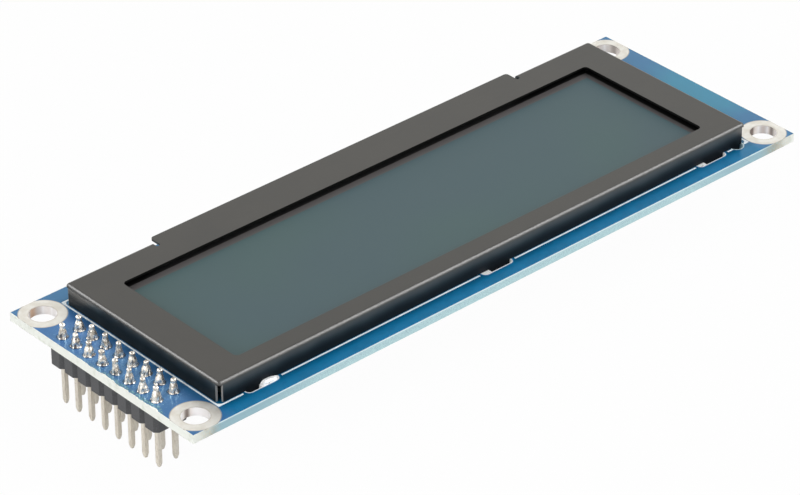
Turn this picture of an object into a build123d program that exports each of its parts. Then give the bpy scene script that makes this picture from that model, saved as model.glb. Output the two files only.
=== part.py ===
from build123d import *
from math import atan2, cos, degrees, radians, sin
import os

os.makedirs("parts", exist_ok=True)

# Oled display module, in millimetres. X runs along the board, with the header at -X. Y runs across it,
# with the panel's flex on the +Y side. Z is up, out of the display. The origin is the centre of the
# board's top face, which is also the centre of its four mounting holes.

# Circuit board
board_length = 101.2
board_width = 34.7
board_thick = 1.2
copper_thick = 0.035
plating_thick = 0.05

# Mounting holes
mount_inset_x = 2.75
mount_inset_y = 2.9
mount_bore = 3.5
mount_ring_width = 1.3

# Header
pin_pitch = 2.54
pins_per_row = 8
row_count = 2
header_edge_gap = 0.2
housing_height = 2.54
housing_notch = 0.5
pin_side = 0.6
pin_short_end = 2.95
pin_long_end = 5.8
pin_point = 0.55
pin_point_side = 0.3
pin_hole = 1.0
hole_sides = 12

# Solder joints on the header
pad_diameter = 1.5
joint_foot_diameter = 1.12
joint_foot_height = 0.4
joint_height = 1.45
joint_top_diameter = 0.96

# Bezel
bezel_end_gap = 6.3
bezel_side_gap = 2.85
bezel_height = 2.85
sheet_thick = 0.3
bend_radius = 0.45
corner_radius = 0.5
corner_notch = 0.6
frame_end_border = 5.1
frame_side_border = 3.8
window_corner = 0.6
window_shift_x = 0.1
window_shift_y = -0.8
tab_end_inset = 14.1
tab_reach = 1.05
tab_corner = 0.45
tab_relief_width = 0.6
tab_relief_depth = 0.35

# Bezel legs and the slots that take them
leg_end_inset = 6.4
slot_length = 4.86
slot_width = 1.6
slot_corner = 0.6
slot_rim = 0.25
leg_width = 3.55
narrow_leg_width = 2.05
leg_end_gap = 0.08
leg_below_board = 0.7
leg_tip_radius = 0.35
solder_sink = 0.05
solder_hollow = 0.8
solder_foot_width = 0.45
solder_foot_height = 0.4
solder_foot_tip = 0.13

# Locating lug and its round hole
lug_hole = 2.0
lug_from_bezel_end = 1.5
lug_width = 1.3
lug_short_of_back = 0.15

# Printed outline
print_gap = 0.16
print_width = 0.24
print_corner = 0.15
print_thick = 0.02
print_slot_gap = 0.27
print_land_gap = 0.1

# Display panel
tape_thick = 0.25
tape_inset = 2.0
rear_glass_thick = 0.7
rear_glass_inset = 1.4
front_glass_thick = 0.7
panel_gap = 0.4
flex_ledge = 3.2
polarizer_thick = 0.2
polarizer_inset = 0.6

# Flex and driver chip
flex_thick = 0.12
flex_width = 44.0
flex_bond = 1.6
flex_upper_radius = 0.65
flex_lower_radius = 0.35
flex_slot_gap = 0.35
flex_slot_width = 1.3
flex_side_gap = 1.2
flex_tail_width = 30.0
flex_tail_length = 5.0
flex_under_length = 15.0
chip_length = 15.0
chip_width = 1.8
chip_height = 0.45
chip_from_bend = 4.5
contact_pitch = 1.0
contact_width = 0.5
contact_length = 0.9
contact_height = 0.12
contact_margin = 1.0

# Rear side parts: name, centre x, centre y, length, width, height, turned by 90 degrees
end_cap_share = 0.2
cap_wall = 0.04
rear_capacitors = [
    (-36.5, -9.5, 3.2, 1.6, 1.3, False),
    (-36.5, -6.5, 3.2, 1.6, 1.3, False),
    (-20.5, -9.0, 3.2, 1.6, 1.3, True),
    (-17.5, -9.0, 1.6, 0.8, 0.8, True),
    (12.0, -8.5, 1.6, 0.8, 0.8, True),
    (14.5, -8.5, 1.6, 0.8, 0.8, True),
    (17.0, -8.5, 1.6, 0.8, 0.8, True),
]
rear_resistors = [
    (-36.5, 3.0, 1.6, 0.8, 0.5, False),
    (-36.5, 5.0, 1.6, 0.8, 0.5, False),
    (-36.5, 7.0, 1.6, 0.8, 0.5, False),
    (-36.5, 9.0, 1.6, 0.8, 0.5, False),
    (-32.5, 3.0, 1.6, 0.8, 0.5, False),
    (-32.5, 5.0, 1.6, 0.8, 0.5, False),
    (20.0, -8.5, 1.6, 0.8, 0.5, True),
    (22.5, -8.5, 1.6, 0.8, 0.5, True),
]
inductor_x = -29.5
inductor_y = -8.0
inductor_side = 4.0
inductor_height = 1.8
inductor_corner = 1.0
inductor_neck = 0.45
inductor_flange_thick = 0.4
regulator_x = -24.5
regulator_y = -8.0
regulator_length = 2.9
regulator_width = 1.6
regulator_height = 1.1
lead_count = 3
lead_pitch = 0.95
lead_width = 0.4
lead_thick = 0.15
lead_reach = 0.55
diode_x = -29.5
diode_y = -3.2
diode_length = 2.7
diode_width = 1.6
diode_height = 1.1

# Worked out from the sizes above
board_back = -board_thick
bezel_length = board_length - 2 * bezel_end_gap
bezel_width = board_width - 2 * bezel_side_gap
window_length = bezel_length - 2 * frame_end_border
window_width = bezel_width - 2 * frame_side_border
tab_length = bezel_length - 2 * tab_end_inset
leg_pitch = bezel_length / 2 - leg_end_inset
mount_x = board_length / 2 - mount_inset_x
mount_y = board_width / 2 - mount_inset_y
ring_diameter = mount_bore + 2 * mount_ring_width
header_x = -board_length / 2 + header_edge_gap + pin_pitch / 2
housing_x = header_x + (row_count - 1) * pin_pitch / 2
pin_top = board_back + pin_short_end
pin_bottom = board_back - housing_height - pin_long_end
wall_y = bezel_width / 2 - sheet_thick / 2
sheet_under = bezel_height - sheet_thick
lug_x = bezel_length / 2 - lug_from_bezel_end
front_glass_z = tape_thick + rear_glass_thick
polarizer_z = front_glass_z + front_glass_thick
panel_length = bezel_length - 2 * sheet_thick - 2 * panel_gap
panel_y_low = -bezel_width / 2 + sheet_thick + panel_gap
panel_y_high = bezel_width / 2 - sheet_thick - panel_gap
flex_drop_y = bezel_width / 2 + flex_slot_gap + flex_thick / 2 + flex_lower_radius
flex_slot_y = flex_drop_y - flex_lower_radius + flex_slot_width / 2


def block(x_low, x_high, y_low, y_high, z_low, z_high):
    """A box between two corners."""
    size = Box(x_high - x_low, y_high - y_low, z_high - z_low)
    return Pos((x_low + x_high) / 2, (y_low + y_high) / 2, (z_low + z_high) / 2) * size


def rounded_plate(x, y, z, length, width, corner, thick):
    """A flat plate with round corners, standing on height z."""
    return extrude(Pos(x, y, z) * RectangleRounded(length, width, corner), thick)


def round_rod(x, y, z_low, z_high, diameter):
    """An upright cylinder between two heights."""
    return Pos(x, y, (z_low + z_high) / 2) * Cylinder(diameter / 2, z_high - z_low)


def save(shape, node):
    """Writes one piece of the module."""
    export_step(shape, f"parts/{node}.step")


def leg_places():
    """Each leg's slot centre, the side of the board, and the span of the leg along X."""
    places = []
    for side in (-1, 1):
        for step in (-1, 0, 1):
            if side > 0 and step == 0:
                continue
            centre = step * leg_pitch
            if side < 0 and step < 0:
                start = centre - slot_length / 2 + leg_end_gap
                places.append((centre, side, start, start + narrow_leg_width))
            else:
                end = centre + slot_length / 2 - leg_end_gap
                places.append((centre, side, end - leg_width, end))
    return places


def mount_places():
    """The four mounting holes' centres."""
    return [(x, y) for x in (-mount_x, mount_x) for y in (-mount_y, mount_y)]


def pin_places():
    """The header pins' centres, front row first."""
    places = []
    for row in range(row_count):
        for column in range(pins_per_row):
            y = (column - (pins_per_row - 1) / 2) * pin_pitch
            places.append((header_x + row * pin_pitch, y))
    return places


# Circuit board
def make_board():
    half_x = board_length / 2
    half_y = board_width / 2
    board = block(-half_x, half_x, -half_y, half_y, board_back, 0)
    for x, y in pin_places():
        board -= pin_hole_prism(x, y)
    for x, y in mount_places():
        board -= round_rod(x, y, board_back, 0, mount_bore + 2 * plating_thick)
        for z in (-copper_thick, board_back):
            board -= round_rod(x, y, z, z + copper_thick, ring_diameter)
    for centre, side, _, _ in leg_places():
        board -= slot_prism(centre, side, board_back, 0, plating_thick)
        for z in (-copper_thick, board_back):
            board -= slot_prism(centre, side, z, z + copper_thick, slot_rim)
    board -= round_rod(lug_x, -wall_y, board_back, 0, lug_hole)
    flex_slot = SlotOverall(flex_width + 2 * flex_side_gap, flex_slot_width)
    return board - extrude(Pos(0, flex_slot_y, board_back) * flex_slot, board_thick)


def slot_prism(centre, side, z_low, z_high, grow):
    """The leg slot's outline, grown all round, between two heights."""
    return rounded_plate(
        centre,
        side * wall_y,
        z_low,
        slot_length + 2 * grow,
        slot_width + 2 * grow,
        slot_corner + grow,
        z_high - z_low,
    )


def board_prism(z_low, z_high):
    """The board's outline as a block, used to trim what would stick out past its edges."""
    half_x = board_length / 2
    half_y = board_width / 2
    return block(-half_x, half_x, -half_y, half_y, z_low, z_high)


def make_mount_land(x, y):
    """A tinned ring on both faces, trimmed at the board's edges, and the barrel between them."""
    land = round_rod(x, y, board_back, 0, mount_bore + 2 * plating_thick)
    for z in (-copper_thick, board_back):
        land += round_rod(x, y, z, z + copper_thick, ring_diameter)
    land -= round_rod(x, y, board_back, 0, mount_bore)
    return land & board_prism(board_back, 0)


def make_slot_land(centre, side):
    """A tinned rim on both faces of a leg slot, and the lining between them."""
    land = slot_prism(centre, side, board_back, 0, plating_thick)
    for z in (-copper_thick, board_back):
        land += slot_prism(centre, side, z, z + copper_thick, slot_rim)
    return land - slot_prism(centre, side, board_back, 0, 0)


def make_printed_outline():
    """The white line round the bezel's foot, broken at the slots, the round hole and the lands."""
    inner_x = bezel_length + 2 * print_gap
    inner_y = bezel_width + 2 * print_gap
    outline = rounded_plate(
        0, 0, 0, inner_x + 2 * print_width, inner_y + 2 * print_width, print_corner, print_thick
    )
    outline -= rounded_plate(0, 0, 0, inner_x, inner_y, corner_radius + print_gap, print_thick)
    for centre, side, _, _ in leg_places():
        half = slot_length / 2 + slot_rim + print_slot_gap
        y_near = wall_y - slot_width
        y_far = wall_y + slot_width
        outline -= block(centre - half, centre + half, *sorted((side * y_near, side * y_far)), 0, print_thick)
    outline -= round_rod(lug_x, -wall_y, 0, print_thick, lug_hole + 2 * print_gap)
    for x, y in mount_places():
        outline -= round_rod(x, y, 0, print_thick, ring_diameter + 2 * print_land_gap)
    half_flex = flex_width / 2 + flex_side_gap + print_slot_gap
    outline -= block(-half_flex, half_flex, 0, board_width, 0, print_thick)
    return outline


# Bezel: the feature that takes the most skill. One folded sheet: a flat frame with a window, walls bent
# down all round, open corners, a flat tab where the flex leaves, legs and a lug that go through the board.
def make_bezel():
    shell = rounded_plate(0, 0, 0, bezel_length, bezel_width, corner_radius, bezel_height)
    shell = fillet(shell.faces().sort_by(Axis.Z)[-1].edges(), bend_radius)
    inner_corner = corner_radius - sheet_thick
    hollow = rounded_plate(
        0, 0, 0, bezel_length - 2 * sheet_thick, bezel_width - 2 * sheet_thick, inner_corner, sheet_under
    )
    hollow = fillet(hollow.faces().sort_by(Axis.Z)[-1].edges(), bend_radius - sheet_thick)
    bezel = shell - hollow
    bezel -= rounded_plate(
        window_shift_x, window_shift_y, sheet_under, window_length, window_width, window_corner, sheet_thick
    )
    bezel = cut_tab_opening(bezel)
    bezel = open_corners(bezel)
    for _, side, x_low, x_high in leg_places():
        bezel += make_leg(side * wall_y, x_low, x_high, board_back - leg_below_board)
    lug_half = lug_width / 2
    bezel += make_leg(-wall_y, lug_x - lug_half, lug_x + lug_half, board_back + lug_short_of_back)
    return bezel


def cut_tab_opening(bezel):
    """Takes the far wall away over the tab's length, and leaves the sheet flat there, with relief cuts."""
    bend_line = bezel_width / 2 - bend_radius
    tab_end = bezel_width / 2 + tab_reach
    half = tab_length / 2
    opening_half = half + tab_relief_width
    bezel -= block(-opening_half, opening_half, bend_line, tab_end, 0, bezel_height)
    for x in (-half - tab_relief_width / 2, half + tab_relief_width / 2):
        relief = Pos(x, bend_line, sheet_under) * SlotCenterToCenter(
            2 * tab_relief_depth, tab_relief_width, rotation=90
        )
        bezel -= extrude(relief, sheet_thick)
    tab = block(-half, half, bend_line, tab_end, sheet_under, bezel_height)
    tab_edges = tab.edges().filter_by(Axis.Z).group_by(Axis.Y)[-1]
    return bezel + fillet(tab_edges, tab_corner)


def open_corners(bezel):
    """Takes each corner away from the foot up to the bend, so that two walls end short of each other."""
    for x_side in (-1, 1):
        for y_side in (-1, 1):
            corner_x = x_side * (bezel_length - corner_notch) / 2
            corner_y = y_side * (bezel_width - corner_notch) / 2
            notch = Box(corner_notch, corner_notch, bezel_height - bend_radius)
            bezel -= Pos(corner_x, corner_y, (bezel_height - bend_radius) / 2) * notch
    return bezel


def make_leg(y, x_low, x_high, z_low):
    """A leg that carries a wall on downwards, with a rounded tip."""
    leg = block(x_low, x_high, y - sheet_thick / 2, y + sheet_thick / 2, z_low, 0)
    tip_edges = leg.edges().filter_by(Axis.Y).group_by(Axis.Z)[0]
    return fillet(tip_edges, leg_tip_radius)


def make_leg_solder():
    """Solder in each slot, deep beside its leg, nearly level past it, with a sloping foot below the board."""
    solders = []
    for centre, side, x_low, x_high in leg_places():
        fill = slot_prism(centre, side, board_back, -solder_sink, 0)
        middle = (x_low + x_high) / 2
        y = side * wall_y
        slot_end = centre + slot_length / 2 if middle > centre else centre - slot_length / 2
        leg_end = x_low if middle > centre else x_high
        y_low = y - slot_width / 2
        y_high = y + slot_width / 2
        deep_low, deep_high = sorted((leg_end, slot_end))
        fill -= block(deep_low, deep_high, y_low, y_high, -solder_hollow, -solder_sink)
        foot = Pos(middle, y, board_back) * leg_solder_foot(x_high - x_low)
        leg = make_leg(y, x_low, x_high, board_back - leg_below_board)
        solders.append(fill + foot - leg)
    return Compound(children=solders)


def leg_solder_foot(length):
    """The foot of solder round a leg, as the overlap of a long and a short sloping bar."""
    bars = []
    for plane, span, reach in ((Plane.XZ, length, sheet_thick), (Plane.YZ, sheet_thick, length)):
        wide = span / 2 + solder_foot_width
        slim = (span + solder_foot_tip) / 2
        side = Polyline(
            (-wide, 0), (wide, 0), (slim, -solder_foot_height), (-slim, -solder_foot_height), close=True
        )
        bars.append(extrude(plane * make_face(side), reach / 2 + solder_foot_width, both=True))
    return bars[0] & bars[1]


# Display panel, from the board up
def make_panel_layer(z, thick, inset, far_inset):
    """A flat layer of the panel, set in from the front glass's outline."""
    half = panel_length / 2 - inset
    return block(-half, half, panel_y_low + inset, panel_y_high - far_inset, z, z + thick)


# Flex: bonded under the front glass's ledge, down through the board's slot and back under the board
def flex_path():
    """The flex's middle line, seen along X, from the glass to its tail."""
    top_z = front_glass_z - flex_thick / 2
    low_z = board_back - flex_thick / 2
    start = (panel_y_high - flex_bond, top_z)
    bend_1 = (flex_drop_y - flex_upper_radius, top_z)
    drop_1 = (flex_drop_y, top_z - flex_upper_radius)
    drop_2 = (flex_drop_y, low_z + flex_lower_radius)
    bend_2 = (flex_drop_y - flex_lower_radius, low_z)
    tail = (bend_2[0] - flex_under_length, low_z)
    return start, bend_1, drop_1, drop_2, bend_2, tail


def arc_middle(centre_y, centre_z, radius, angle):
    """A point on an arc of the flex, at an angle in degrees."""
    return (centre_y + radius * cos(radians(angle)), centre_z + radius * sin(radians(angle)))


def flex_side(offset):
    """One face of the flex as a wire in the YZ plane, offset to the outside of its bends."""
    start, bend_1, drop_1, drop_2, bend_2, tail = flex_path()
    upper = flex_upper_radius + offset
    lower = flex_lower_radius + offset
    points = [
        (start[0], start[1] + offset),
        (bend_1[0], bend_1[1] + offset),
        (drop_1[0] + offset, drop_1[1]),
        (drop_2[0] + offset, drop_2[1]),
        (bend_2[0], bend_2[1] - offset),
        (tail[0], tail[1] - offset),
    ]
    mid_1 = arc_middle(bend_1[0], drop_1[1], upper, 45)
    mid_2 = arc_middle(bend_2[0], drop_2[1], lower, -45)
    edges = [
        Line(points[0], points[1]),
        ThreePointArc(points[1], mid_1, points[2]),
        Line(points[2], points[3]),
        ThreePointArc(points[3], mid_2, points[4]),
        Line(points[4], points[5]),
    ]
    return points, edges


def make_flex():
    outer_points, outer_edges = flex_side(flex_thick / 2)
    inner_points, inner_edges = flex_side(-flex_thick / 2)
    ends = [Line(outer_points[0], inner_points[0]), Line(outer_points[-1], inner_points[-1])]
    profile = make_face(outer_edges + inner_edges + ends)
    flex = Pos(-flex_width / 2, 0, 0) * extrude(Plane.YZ * profile, flex_width)
    tail_y = flex_path()[-1][0]
    step = (flex_width - flex_tail_width) / 2
    for side in (-1, 1):
        outer_x = side * flex_width / 2
        inner_x = side * flex_tail_width / 2
        corner = Polyline(
            (outer_x, tail_y),
            (inner_x, tail_y),
            (inner_x, tail_y + flex_tail_length),
            (outer_x, tail_y + flex_tail_length + step),
            close=True,
        )
        below = Pos(0, 0, board_back - flex_thick) * make_face(corner)
        flex -= extrude(below, flex_thick)
    return flex


def make_driver_chip():
    y = flex_path()[-2][0] - chip_from_bend
    top = board_back - flex_thick
    half_x = chip_length / 2
    half_y = chip_width / 2
    return block(-half_x, half_x, y - half_y, y + half_y, top - chip_height, top)


def make_flex_contacts():
    """The row of soldered contacts at the end of the flex's tail."""
    tail_y = flex_path()[-1][0]
    count = int((flex_tail_width - 2 * contact_margin) / contact_pitch) + 1
    contacts = []
    for index in range(count):
        x = (index - (count - 1) / 2) * contact_pitch
        half = contact_width / 2
        contact = block(
            x - half, x + half, tail_y - contact_length, tail_y, board_back - contact_height, board_back
        )
        contacts.append(contact)
    return Compound(children=contacts)


# Header
def make_housing():
    """The header's body: square positions with chamfered corners, and a square hole for each pin."""
    half_depth = row_count * pin_pitch / 2
    points = []
    for side in (-1, 1):
        for column in range(pins_per_row):
            low = (column - pins_per_row / 2) * pin_pitch
            high = low + pin_pitch
            stops = [
                (half_depth - housing_notch, low),
                (half_depth, low + housing_notch),
                (half_depth, high - housing_notch),
                (half_depth - housing_notch, high),
            ]
            points += [(housing_x + side * x, side * y) for x, y in stops]
    outline = [point for index, point in enumerate(points) if point != points[index - 1]]
    base = Pos(0, 0, board_back - housing_height) * make_face(Polyline(*outline, close=True))
    housing = extrude(base, housing_height)
    for x, y in pin_places():
        housing -= pin_prism(x, y, board_back - housing_height, board_back)
    return housing


def pin_prism(x, y, z_low, z_high):
    """The pin's square shank between two heights."""
    half = pin_side / 2
    return block(x - half, x + half, y - half, y + half, z_low, z_high)


def make_pin(x, y):
    """A square pin with both ends drawn to a blunt point, as the overlap of two flat bars."""
    half = pin_side / 2
    tip = pin_point_side / 2
    side = Polyline(
        (-tip, pin_bottom),
        (tip, pin_bottom),
        (half, pin_bottom + pin_point),
        (half, pin_top - pin_point),
        (tip, pin_top),
        (-tip, pin_top),
        (-half, pin_top - pin_point),
        (-half, pin_bottom + pin_point),
        close=True,
    )
    bars = [extrude(plane * make_face(side), half, both=True) for plane in (Plane.XZ, Plane.YZ)]
    return Pos(x, y, 0) * (bars[0] & bars[1])


def pin_hole_prism(x, y):
    """The hole for a pin and its solder, drawn with flat sides."""
    outline = RegularPolygon(pin_hole / 2, hole_sides, major_radius=False)
    return Pos(x, y, board_back) * extrude(outline, board_thick)


def joint_stage(diameter, next_diameter, z_low, z_high):
    """One stage of a joint's cone between two heights, with as many sides as the hole."""
    outline = RegularPolygon(diameter / 2, hole_sides, major_radius=False)
    slope = degrees(atan2((diameter - next_diameter) / 2, z_high - z_low))
    return extrude(Pos(0, 0, z_low) * outline, z_high - z_low, taper=slope)


def make_joint(x, y):
    """Solder in the hole and a hollow-sided cone on top of it, round the pin."""
    cone = joint_stage(pad_diameter, joint_foot_diameter, 0, joint_foot_height)
    cone += joint_stage(joint_foot_diameter, joint_top_diameter, joint_foot_height, joint_height)
    return pin_hole_prism(x, y) + Pos(x, y, 0) * cone - make_pin(x, y)


# Rear side parts
def chip_part(x, y, length, width, height, turned):
    """A chip capacitor or resistor under the board: its body, and its two end caps."""
    cap = end_cap_share * length
    low = board_back - height
    half = length / 2
    body_x = half - cap_wall
    body_y = width / 2 - cap_wall
    body = block(-body_x, body_x, -body_y, body_y, low + cap_wall, board_back)
    caps = block(-half, half, -width / 2, width / 2, low, board_back)
    caps -= block(-half + cap, half - cap, -width / 2, width / 2, low, board_back)
    place = Pos(x, y, 0) * Rot(0, 0, 90 if turned else 0)
    return place * body, place * (caps - body)


def make_inductor():
    """A square wound core: two flanges with cut corners and a round neck between them."""
    core = Pos(inductor_x, inductor_y, board_back - inductor_flange_thick) * inductor_flange()
    core += Pos(inductor_x, inductor_y, board_back - inductor_height) * inductor_flange()
    neck = inductor_side - 2 * inductor_neck
    core += round_rod(inductor_x, inductor_y, board_back - inductor_height, board_back, neck)
    return core


def inductor_flange():
    """One flange, a square with chamfered corners."""
    square = Rectangle(inductor_side, inductor_side)
    return extrude(chamfer(square.vertices(), inductor_corner), inductor_flange_thick)


def make_regulator():
    """The supply chip's moulded body, raised on its leads."""
    half_x = regulator_width / 2
    half_y = regulator_length / 2
    low = board_back - regulator_height
    body = block(-half_x, half_x, -half_y, half_y, low, board_back - lead_thick)
    return Pos(regulator_x, regulator_y, 0) * body


def make_diode():
    half_x = diode_length / 2
    half_y = diode_width / 2
    body = block(-half_x, half_x, -half_y, half_y, board_back - diode_height, board_back - lead_thick)
    return Pos(diode_x, diode_y, 0) * body


def make_leads():
    """The flat leads under the regulator and the diode, which seat them on the board."""
    leads = []
    for side in (-1, 1):
        for index in range(lead_count):
            y = regulator_y + (index - (lead_count - 1) / 2) * lead_pitch
            inner = regulator_x + side * (regulator_width / 2 - lead_reach)
            outer = regulator_x + side * (regulator_width / 2 + lead_reach)
            leads.append(flat_lead(inner, outer, y, lead_width))
        inner = diode_x + side * (diode_length / 2 - lead_reach)
        outer = diode_x + side * (diode_length / 2 + lead_reach)
        leads.append(flat_lead(inner, outer, diode_y, 2 * lead_width))
    return leads


def flat_lead(x_1, x_2, y, width):
    """A flat strip on the board's back face."""
    x_low, x_high = sorted((x_1, x_2))
    return block(x_low, x_high, y - width / 2, y + width / 2, board_back - lead_thick, board_back)


# Board with its lands and its print
save(make_board(), "circuit_board")
for number, (x, y) in enumerate(mount_places(), 1):
    save(make_mount_land(x, y), f"mount_land_{number}")
for number, (centre, side, _, _) in enumerate(leg_places(), 1):
    save(make_slot_land(centre, side), f"slot_land_{number}")
save(make_printed_outline(), "printed_outline")

# Bezel and its solder
save(make_bezel(), "bezel")
save(make_leg_solder(), "leg_solder")

# Panel
save(make_panel_layer(0, tape_thick, tape_inset, flex_ledge + tape_inset), "panel_tape")
save(make_panel_layer(tape_thick, rear_glass_thick, rear_glass_inset, flex_ledge), "rear_glass")
save(make_panel_layer(front_glass_z, front_glass_thick, 0, 0), "front_glass")
save(make_panel_layer(polarizer_z, polarizer_thick, polarizer_inset, polarizer_inset), "polarizer")

# Flex
save(make_flex(), "flex_ribbon")
save(make_driver_chip(), "driver_chip")
save(make_flex_contacts(), "flex_contacts")

# Header
save(make_housing(), "header_housing")
for number, (x, y) in enumerate(pin_places(), 1):
    save(make_pin(x, y), f"header_pin_{number:02d}")
    save(make_joint(x, y), f"solder_joint_{number:02d}")

# Rear side parts
capacitors = [chip_part(*values) for values in rear_capacitors]
resistors = [chip_part(*values) for values in rear_resistors]
save(Compound(children=[body for body, _ in capacitors]), "capacitors")
save(Compound(children=[body for body, _ in resistors]), "resistors")
save(make_inductor(), "inductor")
save(make_regulator(), "regulator")
save(make_diode(), "diode")
terminals = [solid for _, caps in capacitors + resistors for solid in caps.solids()] + make_leads()
save(Compound(children=terminals), "part_terminals")
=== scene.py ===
import math

import bpy
import numpy as np
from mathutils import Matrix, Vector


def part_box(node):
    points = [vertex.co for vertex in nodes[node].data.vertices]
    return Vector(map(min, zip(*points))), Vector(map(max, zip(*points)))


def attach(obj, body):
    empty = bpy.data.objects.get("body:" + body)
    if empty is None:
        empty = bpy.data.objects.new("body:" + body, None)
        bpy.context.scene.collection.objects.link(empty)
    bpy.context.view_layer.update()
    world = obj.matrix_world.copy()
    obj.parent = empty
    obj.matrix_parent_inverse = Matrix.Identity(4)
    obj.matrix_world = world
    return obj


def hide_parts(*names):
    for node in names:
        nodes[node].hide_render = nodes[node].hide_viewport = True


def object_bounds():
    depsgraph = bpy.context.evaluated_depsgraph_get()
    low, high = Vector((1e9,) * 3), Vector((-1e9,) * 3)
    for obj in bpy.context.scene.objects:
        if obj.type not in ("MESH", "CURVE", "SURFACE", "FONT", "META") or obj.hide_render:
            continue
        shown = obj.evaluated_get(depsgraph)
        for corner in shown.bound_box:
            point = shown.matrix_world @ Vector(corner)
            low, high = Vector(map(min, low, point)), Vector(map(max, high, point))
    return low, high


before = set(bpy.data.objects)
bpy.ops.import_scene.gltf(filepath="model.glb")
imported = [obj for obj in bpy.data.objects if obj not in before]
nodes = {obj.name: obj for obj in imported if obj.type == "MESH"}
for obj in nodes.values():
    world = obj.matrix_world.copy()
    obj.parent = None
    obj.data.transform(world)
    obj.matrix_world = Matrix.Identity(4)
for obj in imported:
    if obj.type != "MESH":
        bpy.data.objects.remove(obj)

# Oled display module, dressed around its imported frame. Lengths are metres, but millimetres where a name ends
# in Mm, and in the x, y and z of finishes and new surfaces.
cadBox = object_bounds()
mm = 0.001
toMm = 1 / mm


def colour(red, green, blue):
    # a screen colour of 0 to 255 as the linear colour that the shaders take
    parts = np.array((red, green, blue)) / 255
    linear = np.where(parts <= 0.04045, parts / 12.92, ((parts + 0.055) / 1.055) ** 2.4)
    return (*linear.tolist(), 1.0)


plainWhite = (1.0, 1.0, 1.0, 1.0)

# Shader building

class Value:
    # one node socket; sums on it add Math nodes
    def __init__(self, shader, socket):
        self.shader = shader
        self.socket = socket

    def __add__(self, other):
        return self.shader.maths("ADD", self, other)

    def __radd__(self, other):
        return self.shader.maths("ADD", other, self)

    def __sub__(self, other):
        return self.shader.maths("SUBTRACT", self, other)

    def __rsub__(self, other):
        return self.shader.maths("SUBTRACT", other, self)

    def __mul__(self, other):
        return self.shader.maths("MULTIPLY", self, other)

    def __truediv__(self, other):
        return self.shader.maths("DIVIDE", self, other)

    def __pow__(self, other):
        return self.shader.maths("POWER", self, other)

    def __abs__(self):
        return self.shader.maths("ABSOLUTE", self)

    def __mod__(self, other):
        return self.shader.maths("FLOORED_MODULO", self, other)

    def __gt__(self, other):
        return self.shader.maths("GREATER_THAN", self, other)

    def __lt__(self, other):
        return self.shader.maths("LESS_THAN", self, other)


def setStops(ramp, stops):
    # a colour ramp's stops, each a place from 0 to 1 and a colour
    while len(ramp.elements) < len(stops):
        ramp.elements.new(0.5)
    for element, (place, tint) in zip(ramp.elements, stops):
        element.position = place
        element.color = tint


class Shader:
    # one material or sky, with the few node recipes that this module's finishes share
    def __init__(self, name, tree=None):
        if tree is None:
            self.material = bpy.data.materials.new(name)
            self.material.use_nodes = True
            tree = self.material.node_tree
        self.tree = tree
        self.tree.nodes.clear()

    def node(self, kind, settings=None, inputs=None, out=0):
        made = self.tree.nodes.new("ShaderNode" + kind)
        for name, value in (settings or {}).items():
            if name == "stops":
                setStops(made.color_ramp, value)
            else:
                setattr(made, name, value)
        for key, value in (inputs or {}).items():
            if isinstance(value, Value):
                self.tree.links.new(value.socket, made.inputs[key])
            else:
                made.inputs[key].default_value = value
        return Value(self, made.outputs[out])

    def maths(self, operation, *values):
        return self.node("Math", {"operation": operation}, dict(enumerate(values)))

    def least(self, first, second):
        return self.maths("MINIMUM", first, second)

    def most(self, first, second):
        return self.maths("MAXIMUM", first, second)

    def place(self):
        # Object coordinates in millimetres
        where = self.node("TexCoord", out="Object")
        return self.node("VectorMath", {"operation": "SCALE"}, {0: where, "Scale": toMm})

    def axes(self, vector):
        # a vector's three parts
        split = self.node("SeparateXYZ", inputs={0: vector}).socket.node
        return [Value(self, socket) for socket in split.outputs]

    def stretch(self, vector, along):
        return self.node("VectorMath", {"operation": "MULTIPLY"}, {0: vector, 1: along})

    def noise(self, vector, scale, detail=3.0, rough=0.55):
        inputs = {"Vector": vector, "Scale": scale, "Detail": detail, "Roughness": rough}
        return self.node("TexNoise", inputs=inputs)

    def cells(self, vector, scale):
        return self.node("TexVoronoi", inputs={"Vector": vector, "Scale": scale})

    def attribute(self, name):
        return self.node("Attribute", {"attribute_name": name}, out="Fac")

    def fade(self, value, low, high):
        # 0 at low, 1 at high, smooth between
        settings = {"interpolation_type": "SMOOTHSTEP"}
        return self.node("MapRange", settings, {"Value": value, "From Min": low, "From Max": high})

    def tint(self, factor, first, second):
        return self.node("Mix", {"data_type": "RGBA"}, {0: factor, 6: first, 7: second}, out=2)

    def bump(self, height, strength, depthMm):
        inputs = {"Height": height, "Strength": strength, "Distance": depthMm * mm}
        return self.node("Bump", inputs=inputs)

    def surface(self, **sockets):
        inputs = {name.replace("_", " "): value for name, value in sockets.items()}
        body = self.node("BsdfPrincipled", inputs=inputs)
        self.finish(body)
        return self.material

    def finish(self, body):
        out = self.tree.nodes.new("ShaderNodeOutputMaterial")
        self.tree.links.new(body.socket, out.inputs[0])


def dress(name, material):
    piece = nodes[name]
    for slot in piece.material_slots:
        slot.material = material


def boxMm(name):
    # a node's middle as seen from above, its underside and its top, in millimetres
    low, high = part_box(name)
    middle = (low + high) / 2 * toMm
    return middle[:2], low.z * toMm, high.z * toMm


def span(across, along):
    # length of a step with these two parts, at right angles to each other
    return (across * across + along * along) ** 0.5


# Camera, at the photograph's angle

cameraView = {
    "aim": (-5.887 * mm, -3.437 * mm, 0.0),
    "distance": 475.48 * mm,
    "heading": math.radians(47.86),  # from +X towards +Y
    "elevation": math.radians(32.5),
    "lens": 172.63,
    "sensor": 36.0,
    "clip": (0.01, 20.0),
}


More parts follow.
